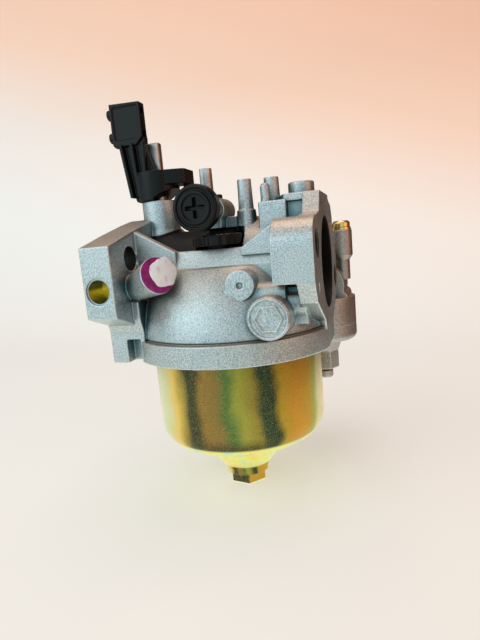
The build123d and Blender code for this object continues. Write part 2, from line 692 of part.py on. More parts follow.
with BuildPart() as main_nozzle:
    with BuildSketch(level(MAIN_JET_TOP_Z)):
        Circle(NOZZLE_R)
        Circle(1.1, mode=Mode.SUBTRACT)
    extrude(amount=NOZZLE_TOP_Z - MAIN_JET_TOP_Z)
    # air bleed holes up the side of the tube
    for hole_z in range(-34, -18, 4):
        with BuildSketch(near(3.0)):
            with Locations((0, hole_z)):
                Circle(0.4)
        extrude(amount=6.0, mode=Mode.SUBTRACT)
save(main_nozzle.part, "main_nozzle")

# ---------------------------------------------------------------- throttle
with BuildPart() as throttle_shaft:
    with BuildSketch(upright(THROTTLE_X, 0, -12.0)):
        Circle(THROTTLE_SHAFT_R)
    extrude(amount=THROTTLE_SHAFT_TOP_Z + 12.0)
    # slot that holds the throttle plate, and its two screw holes
    with Locations((THROTTLE_X, 0, 0)):
        Box(THROTTLE_PLATE_T, 6.0, 2 * THROTTLE_BORE_R, mode=Mode.SUBTRACT)
    with BuildSketch(across(THROTTLE_X - 4.0)):
        with Locations((0, PLATE_SCREW_Z), (0, -PLATE_SCREW_Z)):
            Circle(PLATE_SCREW_R)
    extrude(amount=8.0, mode=Mode.SUBTRACT)
    # flat on the free end that drives the lever
    with BuildSketch(upright(THROTTLE_X, -THROTTLE_SHAFT_R, LEVER_TOP_Z - 6.0)):
        Rectangle(8.0, 1.4)
    extrude(amount=30.0, mode=Mode.SUBTRACT)
    chamfer(throttle_shaft.faces().sort_by(Axis.Z)[-1].edges(), 0.3)
save(throttle_shaft.part, "throttle_shaft")

with BuildPart() as throttle_plate:
    with BuildSketch(across(THROTTLE_X - THROTTLE_PLATE_T / 2)):
        Circle(THROTTLE_BORE_R - 0.12)
        with Locations((0, PLATE_SCREW_Z), (0, -PLATE_SCREW_Z)):
            Circle(PLATE_SCREW_R, mode=Mode.SUBTRACT)
    extrude(amount=THROTTLE_PLATE_T)
save(throttle_plate.part, "throttle_plate")


def plate_screws(shaft_x, shaft_r, height, radius):
    """Two round-head screws that clamp a disc plate in its shaft, heads towards the engine."""
    with BuildPart() as screws:
        with BuildSketch(across(shaft_x - shaft_r)):
            with Locations((0, height), (0, -height)):
                Circle(radius)
        extrude(amount=2 * shaft_r)
        with BuildSketch(across(shaft_x - shaft_r)):
            with Locations((0, height), (0, -height)):
                Circle(radius * 1.75)
        extrude(amount=-1.1)
        with BuildSketch(across(shaft_x - shaft_r - 1.1)):
            with Locations((0, height), (0, -height)):
                Rectangle(radius * 3.6, 0.5)
        extrude(amount=0.5, mode=Mode.SUBTRACT)
    return screws.part


save(plate_screws(THROTTLE_X, THROTTLE_SHAFT_R, PLATE_SCREW_Z, PLATE_SCREW_R), "throttle_plate_screws")

with BuildPart() as throttle_shaft_seal:
    with BuildSketch(upright(THROTTLE_X, 0, THROTTLE_BOSS_Z - 2.0)):
        Circle(3.9)
        Circle(THROTTLE_SHAFT_R + GAP, mode=Mode.SUBTRACT)
    extrude(amount=1.8)
save(throttle_shaft_seal.part, "throttle_shaft_seal")

with BuildPart() as throttle_lever:
    # hub round the shaft, cut back on the bore side so that the boss shows below it
    with BuildSketch(upright(THROTTLE_X, 0, LEVER_FOOT_Z)):
        Circle(HUB_R)
    extrude(amount=LEVER_TOP_Z - LEVER_FOOT_Z)
    with BuildSketch(Plane.XZ):
        with BuildLine():
            Polyline((-20.0, 21.0), (-19.4, 22.4), (-12.0, 25.9), (0.0, 25.9), (0.0, 21.0), (-20.0, 21.0))
        make_face()
    extrude(amount=12.0, both=True, mode=Mode.SUBTRACT)
    # stop plate that reaches over to the stop screw
    with BuildSketch(level(25.9)):
        with BuildLine():
            Polyline(
                (THROTTLE_X, -HUB_R), (STOP_ARM_X - 0.8, -3.0), (STOP_ARM_X, -2.2),
                (STOP_ARM_X, FINGER_Y + FINGER_T), (THROTTLE_X + 2.0, HUB_R - 0.4), (THROTTLE_X, -HUB_R),
            )
        make_face()
    extrude(amount=LEVER_TOP_Z - 25.9)
    # finger that meets the tip of the stop screw
    with Locations((STOP_ARM_X, FINGER_Y, 19.4)):
        Box(2.8, FINGER_T, 8.0, align=(Align.MAX, Align.MIN, Align.MIN))
    with Locations((FINGER_TIP_X, FINGER_Y, 19.4)):
        Box(FINGER_TIP_X - STOP_ARM_X + 1.0, FINGER_T, 2.6, align=(Align.MAX, Align.MIN, Align.MIN))
    with Locations((FINGER_TIP_X, FINGER_Y, 14.8)):
        Box(4.5, FINGER_T, 7.2, align=(Align.MAX, Align.MIN, Align.MIN))
    # tall arm, a web stiffened by three ribs
    with BuildSketch(near(-1.6)):
        with BuildLine():
            Polyline(
                (-26.4, 21.8), (-28.9, 38.0), (HEAD_LEFT_X, 38.0), (HEAD_LEFT_X, 49.3),
                (HEAD_RIGHT_X, 49.3), (-21.4, 36.0), (-19.4, 29.8), (-15.0, 29.8),
                (-15.0, 26.0), (-26.4, 21.8),
            )
        make_face()
    extrude(amount=1.8)
    for rib_x, lean in ((-27.4, -2.0), (-25.0, -0.9), (-22.7, 0.4)):
        with BuildSketch(near(-3.0)):
            with BuildLine():
                Polyline(
                    (rib_x, 23.0), (rib_x + lean, 38.4), (rib_x + lean + 1.0, 38.4),
                    (rib_x + 1.0, 23.0), (rib_x, 23.0),
                )
            make_face()
        extrude(amount=2.2)
    # head with the governor rod hole above and the spring hole below
    with BuildSketch(near(-1.2)) as head_outline:
        with BuildLine():
            Polyline(
                (HEAD_LEFT_X, 38.0), (HEAD_LEFT_X, 50.1), (HEAD_RIGHT_X, 49.7), (HEAD_RIGHT_X, 40.2),
                (HEAD_RIGHT_X - 2.2, 38.0), (HEAD_LEFT_X, 38.0),
            )
        make_face()
        fillet(head_outline.vertices().sort_by(Axis.Z)[-2:], 0.8)
    extrude(amount=HEAD_T)
    with BuildSketch(near(-1.2 - HEAD_T)):
        with Locations(((HEAD_LEFT_X + HEAD_RIGHT_X) / 2, 44.4)):
            RectangleRounded(8.0, 9.2, 0.6)
    extrude(amount=-0.4, mode=Mode.SUBTRACT)
    for boss_z in (ROD_HOLE_Z, SPRING_HOLE_Z):
        with BuildSketch(across(HEAD_LEFT_X + 0.5)):
            with Locations((HEAD_Y, boss_z)):
                Circle(1.5)
        extrude(amount=-1.7)
        with BuildSketch(across(-34.0)):
            with Locations((HEAD_Y, boss_z)):
                Circle(ROD_HOLE_R)
        extrude(amount=16.0, mode=Mode.SUBTRACT)
    # D-shaped shaft hole
    with BuildSketch(upright(THROTTLE_X, 0, LEVER_FOOT_Z - 1)):
        Circle(THROTTLE_SHAFT_R)
        with Locations((0, -THROTTLE_SHAFT_R)):
            Rectangle(8.0, 1.4, mode=Mode.SUBTRACT)
    extrude(amount=20.0, mode=Mode.SUBTRACT)
    with BuildSketch(upright(THROTTLE_X, 0, LEVER_FOOT_Z - 1)):
        Circle(THROTTLE_SHAFT_R)
    extrude(amount=LEVER_TOP_Z - 6.0 - LEVER_FOOT_Z + 1, mode=Mode.SUBTRACT)
save(throttle_lever.part, "throttle_lever")

# ---------------------------------------------------------------- choke
with BuildPart() as choke_shaft:
    with BuildSketch(upright(CHOKE_X, 0, -14.4)):
        Circle(CHOKE_SHAFT_R)
    extrude(amount=TOP_PLATE_Z + 1.4 + 14.4)
    with Locations((CHOKE_X, 0, 0)):
        Box(CHOKE_PLATE_T, 6.0, 2 * AIR_BORE_R, mode=Mode.SUBTRACT)
    with BuildSketch(across(CHOKE_X - 4.0)):
        with Locations((0, PLATE_SCREW_Z), (0, -PLATE_SCREW_Z)):
            Circle(PLATE_SCREW_R)
    extrude(amount=8.0, mode=Mode.SUBTRACT)
save(choke_shaft.part, "choke_shaft")

with BuildPart() as choke_plate:
    with BuildSketch(across(CHOKE_X - CHOKE_PLATE_T / 2)):
        Circle(AIR_BORE_R - 0.15)
        with Locations((0, PLATE_SCREW_Z), (0, -PLATE_SCREW_Z)):
            Circle(PLATE_SCREW_R, mode=Mode.SUBTRACT)
        # vent hole that lets a little air past the closed choke
        with Locations((7.0, 0)):
            Circle(1.6, mode=Mode.SUBTRACT)
    extrude(amount=CHOKE_PLATE_T)
save(choke_plate.part, "choke_plate")

save(plate_screws(CHOKE_X, CHOKE_SHAFT_R, PLATE_SCREW_Z, PLATE_SCREW_R), "choke_plate_screws")

choke_lever_plane = Plane(
    origin=(CHOKE_X, 0, CHOKE_LEVER_Z), x_dir=(cos(radians(CHOKE_LEVER_ANGLE)), sin(radians(CHOKE_LEVER_ANGLE)), 0)
)
with BuildPart() as choke_lever:
    with BuildSketch(choke_lever_plane):
        Circle(2.6)
        with BuildLine():
            Polyline((0, -1.7), (CHOKE_ROD_R, -1.5), (CHOKE_ROD_R, 1.5), (0, 1.7), (0, -1.7))
        make_face()
        with Locations((CHOKE_ROD_R, 0)):
            Circle(1.5)
        Circle(CHOKE_SHAFT_R, mode=Mode.SUBTRACT)
        with Locations((CHOKE_ROD_R, 0)):
            Circle(0.8, mode=Mode.SUBTRACT)
    extrude(amount=1.2)
save(choke_lever.part, "choke_lever")

with BuildPart() as choke_shaft_cap:
    with BuildSketch(upright(CHOKE_X, 0, TOP_PLATE_Z)):
        Circle(3.6)
    extrude(amount=3.4)
    fillet(choke_shaft_cap.faces().sort_by(Axis.Z)[-1].edges(), 0.5)
    with BuildSketch(upright(CHOKE_X, 0, TOP_PLATE_Z)):
        Circle(CHOKE_SHAFT_R + GAP)
    extrude(amount=1.6, mode=Mode.SUBTRACT)
save(choke_shaft_cap.part, "choke_shaft_cap")


# ---------------------------------------------------------------- adjusting screws and springs
def coil(start, direction, coil_r, wire_r, length, turns):
    """Compression spring that begins at a point and runs along a direction."""
    with BuildPart() as spring:
        with BuildLine():
            path = Helix(
                pitch=length / turns, height=length, radius=coil_r, center=start, direction=direction
            )
        with BuildSketch(Plane(origin=path @ 0, z_dir=path % 0)):
            Circle(wire_r)
        sweep(path=path)
    return spring.part


with BuildPart() as throttle_stop_screw:
    with BuildSketch(near(STOP_HEAD_Y)):
        with Locations((STOP_SCREW_X, STOP_SCREW_Z)):
            Circle(STOP_HEAD_R)
    extrude(amount=STOP_HEAD_T)
    fillet(throttle_stop_screw.faces().sort_by(Axis.Y)[0].edges(), 0.8)
    # stepped rings and a cross recess in the face of the head
    with BuildSketch(near(STOP_HEAD_Y - STOP_HEAD_T)):
        with Locations((STOP_SCREW_X, STOP_SCREW_Z)):
            Circle(4.9)
            Circle(4.2, mode=Mode.SUBTRACT)
    extrude(amount=-0.5, mode=Mode.SUBTRACT)
    with BuildSketch(near(STOP_HEAD_Y - STOP_HEAD_T)):
        with Locations((STOP_SCREW_X, STOP_SCREW_Z)):
            Circle(3.4)
    extrude(amount=-0.6, mode=Mode.SUBTRACT)
    with BuildSketch(near(STOP_HEAD_Y - STOP_HEAD_T)):
        with Locations((STOP_SCREW_X, STOP_SCREW_Z)):
            Rectangle(5.2, 1.1)
            Rectangle(1.1, 5.2)
    extrude(amount=-2.2, mode=Mode.SUBTRACT)
    with BuildSketch(near(STOP_HEAD_Y)):
        with Locations((STOP_SCREW_X, STOP_SCREW_Z)):
            Circle(STOP_SCREW_R)
    extrude(amount=-(FINGER_Y - GAP - STOP_HEAD_Y))
save(throttle_stop_screw.part, "throttle_stop_screw")

STOP_WIRE_R = 0.45
stop_spring_start = (STOP_SCREW_X, STOP_HEAD_Y + STOP_WIRE_R + GAP, STOP_SCREW_Z)
stop_spring_length = STOP_BOSS_Y - STOP_HEAD_Y - 2 * (STOP_WIRE_R + GAP)
save(coil(stop_spring_start, (0, 1, 0), 3.0, STOP_WIRE_R, stop_spring_length, 6), "throttle_stop_spring")

with BuildPart() as pilot_screw:
    with BuildSketch(PILOT_PLANE.offset(-9.6)):
        Circle(1.9)
    extrude(amount=6.6)
    with BuildSketch(PILOT_PLANE.offset(-3.0)):
        Circle(3.0)
    extrude(amount=1.4)
    with BuildSketch(PILOT_PLANE.offset(-1.6)):
        Rectangle(7.0, 0.8)
    extrude(amount=-0.8, mode=Mode.SUBTRACT)
save(pilot_screw.part, "pilot_screw")

PILOT_WIRE_R = 0.35
pilot_spring_start = PILOT_PLANE.offset(-7.0 + PILOT_WIRE_R + GAP).origin
pilot_spring_length = 4.0 - 2 * (PILOT_WIRE_R + GAP)
save(coil(pilot_spring_start, PILOT_DIR, 2.55, PILOT_WIRE_R, pilot_spring_length, 3), "pilot_screw_spring")

with BuildPart() as pilot_screw_cap:
    with BuildSketch(PILOT_PLANE.offset(-1.3)):
        Circle(3.2)
    extrude(amount=1.3)
    with BuildSketch(PILOT_PLANE):
        Circle(PILOT_BOSS_R - 0.15)
    extrude(amount=0.5)
save(pilot_screw_cap.part, "pilot_screw_cap")

with BuildPart() as pilot_jet:
    with BuildSketch(upright(PILOT_JET_X, PILOT_JET_Y, DECK_Z + 0.9)):
        Circle(PILOT_JET_R)
        # finger notches round the cap
        with PolarLocations(PILOT_JET_R + 0.5, 10, start_angle=9):
            Circle(1.0, mode=Mode.SUBTRACT)
    extrude(amount=2.9)
    chamfer(pilot_jet.faces().sort_by(Axis.Z)[-1].outer_wire().edges(), 0.35)
    with BuildSketch(upright(PILOT_JET_X, PILOT_JET_Y, -5.6)):
        Circle(2.0)
        Circle(0.5, mode=Mode.SUBTRACT)
    extrude(amount=DECK_Z + 0.9 + 5.6)
save(pilot_jet.part, "pilot_jet")

with BuildPart() as pilot_jet_o_ring:
    with BuildSketch(Plane(origin=(PILOT_JET_X, PILOT_JET_Y, 0), x_dir=(1, 0, 0), z_dir=(0, -1, 0))):
        with Locations((2.5, DECK_Z + 0.45)):
            Circle(0.45)
    revolve(axis=Axis((PILOT_JET_X, PILOT_JET_Y, 0), (0, 0, 1)))
save(pilot_jet_o_ring.part, "pilot_jet_o_ring")

# ---------------------------------------------------------------- fuel valve and sediment cup
with BuildPart() as fuel_valve_gasket:
    with BuildSketch(far(HOUSING_FACE_Y - 2.6)):
        with Locations((-VALVE_X, VALVE_Z)):
            Circle(6.8)
        with Locations((-VALVE_X - 2.6, VALVE_Z), (-VALVE_X + 2.6, VALVE_Z)):
            Circle(1.1, mode=Mode.SUBTRACT)
    extrude(amount=0.8)
save(fuel_valve_gasket.part, "fuel_valve_gasket")

with BuildPart() as fuel_valve_lever:
    with BuildSketch(far(HOUSING_FACE_Y - 1.75)):
        with Locations((-VALVE_X, VALVE_Z)):
            Circle(6.7)
    extrude(amount=0.9)
    with BuildSketch(far(HOUSING_FACE_Y - 0.85)):
        with Locations((-VALVE_X, VALVE_Z)):
            Circle(4.8)
    extrude(amount=4.0)
    # handle that stands off the cover and swings through a quarter turn
    with BuildSketch(far(HOUSING_FACE_Y + 1.9)):
        with Locations((-VALVE_X + 7.5, VALVE_Z)):
            SlotOverall(20.0, 6.4)
    extrude(amount=3.0)
    fillet(fuel_valve_lever.faces().sort_by(Axis.Y)[-1].edges(), 0.8)
save(fuel_valve_lever.part, "fuel_valve_lever")

with BuildPart() as fuel_valve_wave_washer:
    with BuildSketch(far(HOUSING_FACE_Y - 0.8)):
        with Locations((-VALVE_X, VALVE_Z)):
            Circle(6.7)
            Circle(4.9, mode=Mode.SUBTRACT)
    extrude(amount=0.75)
save(fuel_valve_wave_washer.part, "fuel_valve_wave_washer")

with BuildPart() as fuel_valve_cover:
    with BuildSketch(far(HOUSING_FACE_Y)):
        with Locations((-VALVE_X, VALVE_Z)):
            Circle(HOUSING_R - 0.3)
        with Locations(*COVER_EARS):
            Circle(COVER_EAR_R)
        with Locations((-VALVE_X, VALVE_Z)):
            Circle(4.9, mode=Mode.SUBTRACT)
        with Locations(*COVER_EARS):
            Circle(1.0 + GAP, mode=Mode.SUBTRACT)
    extrude(amount=0.9)
save(fuel_valve_cover.part, "fuel_valve_cover")

with BuildPart() as fuel_valve_cover_screws:
    with BuildSketch(far(HOUSING_FACE_Y + 0.9)):
        with Locations(*COVER_EARS):
            Circle(1.0)
    extrude(amount=-5.0)
    with BuildSketch(far(HOUSING_FACE_Y + 0.9)):
        with Locations(*COVER_EARS):
            Circle(1.7)
    extrude(amount=0.8)
save(fuel_valve_cover_screws.part, "fuel_valve_cover_screws")

with BuildPart() as sediment_cup:
    with BuildSketch(upright(VALVE_X, VALVE_Y, CUP_TOP_Z)):
        Circle(CUP_R)
    extrude(amount=-5.3)
    fillet(sediment_cup.faces().sort_by(Axis.Z)[0].edges(), 2.0)
    with BuildSketch(upright(VALVE_X, VALVE_Y, CUP_TOP_Z - 5.3)):
        Circle(6.4)
    extrude(amount=-4.0, taper=20)
    # hexagon for the spanner, with a round tip below it
    with BuildSketch(upright(VALVE_X, VALVE_Y, CUP_TOP_Z - 9.3)):
        RegularPolygon(4.2, 6, major_radius=False)
    extrude(amount=-6.6)
    with BuildSketch(upright(VALVE_X, VALVE_Y, CUP_TOP_Z - 15.9)):
        Circle(1.8)
    extrude(amount=-1.0)
    with BuildSketch(upright(VALVE_X, VALVE_Y, CUP_TOP_Z - 16.9)):
        Circle(2.6)
    extrude(amount=-2.6)
    chamfer(sediment_cup.faces().sort_by(Axis.Z)[0].edges(), 0.4)
    with BuildSketch(upright(VALVE_X, VALVE_Y, CUP_TOP_Z)):
        Circle(7.55)
    extrude(amount=2.4)
    with BuildSketch(upright(VALVE_X, VALVE_Y, CUP_TOP_Z + 2.4)):
        Circle(6.2)
    extrude(amount=-6.0, mode=Mode.SUBTRACT)
save(sediment_cup.part, "sediment_cup")

with BuildPart() as sediment_strainer:
    with BuildSketch(upright(VALVE_X, VALVE_Y, CUP_TOP_Z - 2.6)):
        Circle(5.2)
        Circle(4.8, mode=Mode.SUBTRACT)
    extrude(amount=5.6)
    with BuildSketch(upright(VALVE_X, VALVE_Y, CUP_TOP_Z + 2.4)):
        Circle(7.4)
        Circle(4.8, mode=Mode.SUBTRACT)
    extrude(amount=0.6)
save(sediment_strainer.part, "sediment_strainer")

with BuildPart() as fuel_inlet_nipple:
    nipple_x = VALVE_X - 13.6
    with BuildSketch(across(nipple_x)):
        with Locations((VALVE_Y, VALVE_Z)):
            Circle(2.55)
    extrude(amount=9.0)
    with BuildSketch(across(nipple_x - 8.5)):
        with Locations((VALVE_Y, VALVE_Z)):
            Circle(2.3)
    extrude(amount=8.5)
    # barb that keeps the fuel hose on
    with BuildSketch(across(nipple_x - 7.5)):
        with Locations((VALVE_Y, VALVE_Z)):
            Circle(3.0)
    extrude(amount=-3.0, taper=14)
    with BuildSketch(across(nipple_x)):
        with Locations((VALVE_Y, VALVE_Z)):
            Circle(3.6)
    extrude(amount=-1.2)
    with BuildSketch(across(nipple_x - 12.0)):
        with Locations((VALVE_Y, VALVE_Z)):
            Circle(1.4)
    extrude(amount=24.0, mode=Mode.SUBTRACT)
save(fuel_inlet_nipple.part, "fuel_inlet_nipple")

# ---------------------------------------------------------------- plugs, vent and inserts
with BuildPart() as passage_plug_screw:
    with BuildSketch(upright(PLUG_X, PLUG_Y, 9.4)):
        Circle(2.9)
    extrude(amount=2.2)
    fillet(passage_plug_screw.faces().sort_by(Axis.Z)[-1].edges(), 1.0)
    with BuildSketch(upright(PLUG_X, PLUG_Y, 11.6)):
        Rectangle(4.0, 0.8)
        Rectangle(0.8, 4.0)
    extrude(amount=-1.3, mode=Mode.SUBTRACT)
    with BuildSketch(upright(PLUG_X, PLUG_Y, 9.4)):
        Circle(1.5)
    extrude(amount=-5.6)
save(passage_plug_screw.part, "passage_plug_screw")

with BuildPart() as passage_plug_washer:
    with BuildSketch(upright(PLUG_X, PLUG_Y, 8.6)):
        Circle(3.2)
        Circle(1.5 + GAP, mode=Mode.SUBTRACT)
    extrude(amount=0.8)
save(passage_plug_washer.part, "passage_plug_washer")

with BuildPart() as bowl_vent_tube:
    with BuildSketch(upright(VENT_X, VENT_Y, 1.0)):
        Circle(VENT_R)
    extrude(amount=31.6, taper=0.35)
    with BuildSketch(upright(VENT_X, VENT_Y, 1.0)):
        Circle(1.2)
    extrude(amount=34.0, mode=Mode.SUBTRACT)
save(bowl_vent_tube.part, "bowl_vent_tube")

with BuildPart() as side_hole_bush:
    with BuildSketch(near(-22.0)):
        with Locations((SIDE_HOLE_X, SIDE_HOLE_Z)):
            Circle(SIDE_HOLE_R)
            Circle(SIDE_HOLE_R - 0.4, mode=Mode.SUBTRACT)
    extrude(amount=8.4)
    with BuildSketch(near(-21.0)):
        with Locations((SIDE_HOLE_X, SIDE_HOLE_Z)):
            Circle(SIDE_HOLE_R)
    extrude(amount=1.0)
save(side_hole_bush.part, "side_hole_bush")
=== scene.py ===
import json
import math

import bmesh
import bpy
from mathutils import Matrix, Vector, noise


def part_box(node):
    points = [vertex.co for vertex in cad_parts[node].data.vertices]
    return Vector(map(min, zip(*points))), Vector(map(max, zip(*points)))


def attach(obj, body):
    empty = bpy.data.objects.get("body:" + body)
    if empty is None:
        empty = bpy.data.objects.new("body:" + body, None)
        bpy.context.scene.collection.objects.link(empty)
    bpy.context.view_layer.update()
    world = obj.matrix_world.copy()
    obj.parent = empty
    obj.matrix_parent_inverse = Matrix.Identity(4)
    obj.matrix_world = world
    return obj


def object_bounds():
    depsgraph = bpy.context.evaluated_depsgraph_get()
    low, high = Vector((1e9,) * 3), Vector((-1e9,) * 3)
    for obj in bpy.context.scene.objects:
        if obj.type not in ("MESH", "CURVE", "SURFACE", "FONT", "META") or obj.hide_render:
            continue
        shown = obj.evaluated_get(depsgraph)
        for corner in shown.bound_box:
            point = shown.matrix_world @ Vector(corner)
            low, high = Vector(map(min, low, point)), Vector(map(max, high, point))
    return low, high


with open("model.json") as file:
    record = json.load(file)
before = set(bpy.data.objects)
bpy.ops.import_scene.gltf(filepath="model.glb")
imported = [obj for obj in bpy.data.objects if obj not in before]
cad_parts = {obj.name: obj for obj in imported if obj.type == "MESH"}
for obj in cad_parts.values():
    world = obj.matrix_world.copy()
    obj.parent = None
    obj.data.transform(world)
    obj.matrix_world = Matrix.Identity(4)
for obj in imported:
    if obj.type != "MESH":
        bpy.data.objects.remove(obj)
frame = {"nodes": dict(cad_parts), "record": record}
cad_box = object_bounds()
NODES = frame["nodes"]
MM = 0.001
THROAT_R = 12.7 * MM
STUD_R = 3.45 * MM
BETWEEN_FLANGES = 28.4 * MM
FLANGE_REACH = 20.1 * MM


def middle(node):
    """Centre of a node's box at rest."""
    low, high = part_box(node)
    return (Vector(low) + Vector(high)) / 2


BOWL = middle("float_bowl")
BOWL_LOW, BOWL_HIGH = (Vector(c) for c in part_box("float_bowl"))
LINING = middle("side_hole_bush")
LINING_LOW = Vector(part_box("side_hole_bush")[0])
BODY_LOW, BODY_HIGH = (Vector(c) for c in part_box("carburetor_body"))
STUD_TILT = math.radians(15.5)
STUDS = [(side * 21 * MM * math.cos(STUD_TILT), -side * 21 * MM * math.sin(STUD_TILT)) for side in (-1, 1)]


# ---------------------------------------------------------------- node helpers
class Shader:
    """A small builder for one material's node tree."""

    def __init__(self, name):
        self.material = bpy.data.materials.new(name)
        self.material.use_nodes = True
        self.tree = self.material.node_tree
        self.bsdf = self.tree.nodes["Principled BSDF"]
        self.coords = self.add("ShaderNodeTexCoord").outputs["Object"]

    def add(self, kind, **settings):
        node = self.tree.nodes.new(kind)
        for key, value in settings.items():
            setattr(node, key, value)
        return node

    def link(self, source, target):
        if hasattr(source, "is_output"):
            self.tree.links.new(source, target)
        else:
            target.default_value = source

    def noise(self, size_mm, detail=3.0, roughness=0.55, stretch=None):
        """Noise between 0 and 1 whose features are about size_mm across."""
        node = self.add("ShaderNodeTexNoise")
        node.inputs["Scale"].default_value = 1.0 / (size_mm * MM)
        node.inputs["Detail"].default_value = detail
        node.inputs["Roughness"].default_value = roughness
        source = self.coords
        if stretch:
            mapping = self.add("ShaderNodeMapping")
            mapping.inputs["Scale"].default_value = stretch
            self.link(self.coords, mapping.inputs["Vector"])
            source = mapping.outputs["Vector"]
        self.link(source, node.inputs["Vector"])
        return node.outputs["Fac"]

    def spots(self, size_mm):
        """Distance to the nearest of many scattered points, for pits and flecks."""
        node = self.add("ShaderNodeTexVoronoi")
        node.inputs["Scale"].default_value = 1.0 / (size_mm * MM)
        self.link(self.coords, node.inputs["Vector"])
        return node.outputs["Distance"]

    def math(self, operation, a, b=0.0, c=None):
        node = self.add("ShaderNodeMath", operation=operation)
        self.link(a, node.inputs[0])
        self.link(b, node.inputs[1])
        if c is not None:
            self.link(c, node.inputs[2])
        return node.outputs[0]

    def spread(self, value, low, high, start=0.0, end=1.0):
        """Map value from start..end to low..high, clamped."""
        node = self.add("ShaderNodeMapRange")
        self.link(value, node.inputs["Value"])
        node.inputs["From Min"].default_value = start
        node.inputs["From Max"].default_value = end
        node.inputs["To Min"].default_value = low
        node.inputs["To Max"].default_value = high
        return node.outputs["Result"]

    def ramp(self, value, stops):
        """Colour ramp from (position, colour) stops."""
        node = self.add("ShaderNodeValToRGB")
        elements = node.color_ramp.elements
        while len(elements) < len(stops):
            elements.new(0.5)
        for element, (position, colour) in zip(elements, stops):
            element.position = position
            element.color = (*colour, 1.0)
        self.link(value, node.inputs["Fac"])
        return node.outputs["Color"]

    def mix(self, factor, a, b, blend="MIX"):
        node = self.add("ShaderNodeMix", data_type="RGBA", blend_type=blend)
        self.link(factor, node.inputs["Factor"])
        for value, socket in ((a, node.inputs[6]), (b, node.inputs[7])):
            if isinstance(value, tuple):
                socket.default_value = (*value, 1.0)
            else:
                self.link(value, socket)
        return node.outputs[2]

    def split(self, vector):
        node = self.add("ShaderNodeSeparateXYZ")
        self.link(vector, node.inputs[0])
        return node.outputs

    def normal(self):
        """Components of the surface normal."""
        return self.split(self.add("ShaderNodeNewGeometry").outputs["Normal"])

    def shade(self, reach_mm):
        """1 in the open, falling to 0 in corners closer than reach_mm."""
        node = self.add("ShaderNodeAmbientOcclusion", samples=6)
        node.inputs["Distance"].default_value = reach_mm * MM
        return node.outputs["AO"]

    def pointiness(self):
        return self.add("ShaderNodeNewGeometry").outputs["Pointiness"]

    def off_axis(self, centre_y, centre_z):
        """Distance from a line that runs along X through the given y and z."""
        _, y, z = self.split(self.coords)
        dy = self.math("SUBTRACT", y, centre_y)
        dz = self.math("SUBTRACT", z, centre_z)
        return self.math("SQRT", self.math("ADD", self.math("MULTIPLY", dy, dy), self.math("MULTIPLY", dz, dz)))

    def bump(self, height, depth_mm, strength=1.0, normal=None):
        node = self.add("ShaderNodeBump")
        node.inputs["Strength"].default_value = strength
        node.inputs["Distance"].default_value = depth_mm * MM
        self.link(height, node.inputs["Height"])
        if normal is not None:
            self.link(normal, node.inputs["Normal"])
        return node.outputs["Normal"]

    def finish(self, colour, roughness, normal=None, metallic=0.0, **others):
        inputs = self.bsdf.inputs
        if isinstance(colour, tuple):
            inputs["Base Color"].default_value = (*colour, 1.0)
        else:
            self.link(colour, inputs["Base Color"])
        self.link(roughness, inputs["Roughness"])
        self.link(metallic, inputs["Metallic"])
        if normal is not None:
            self.link(normal, inputs["Normal"])
        for key, value in others.items():
            inputs[key.replace("_", " ")].default_value = value
        return self.material


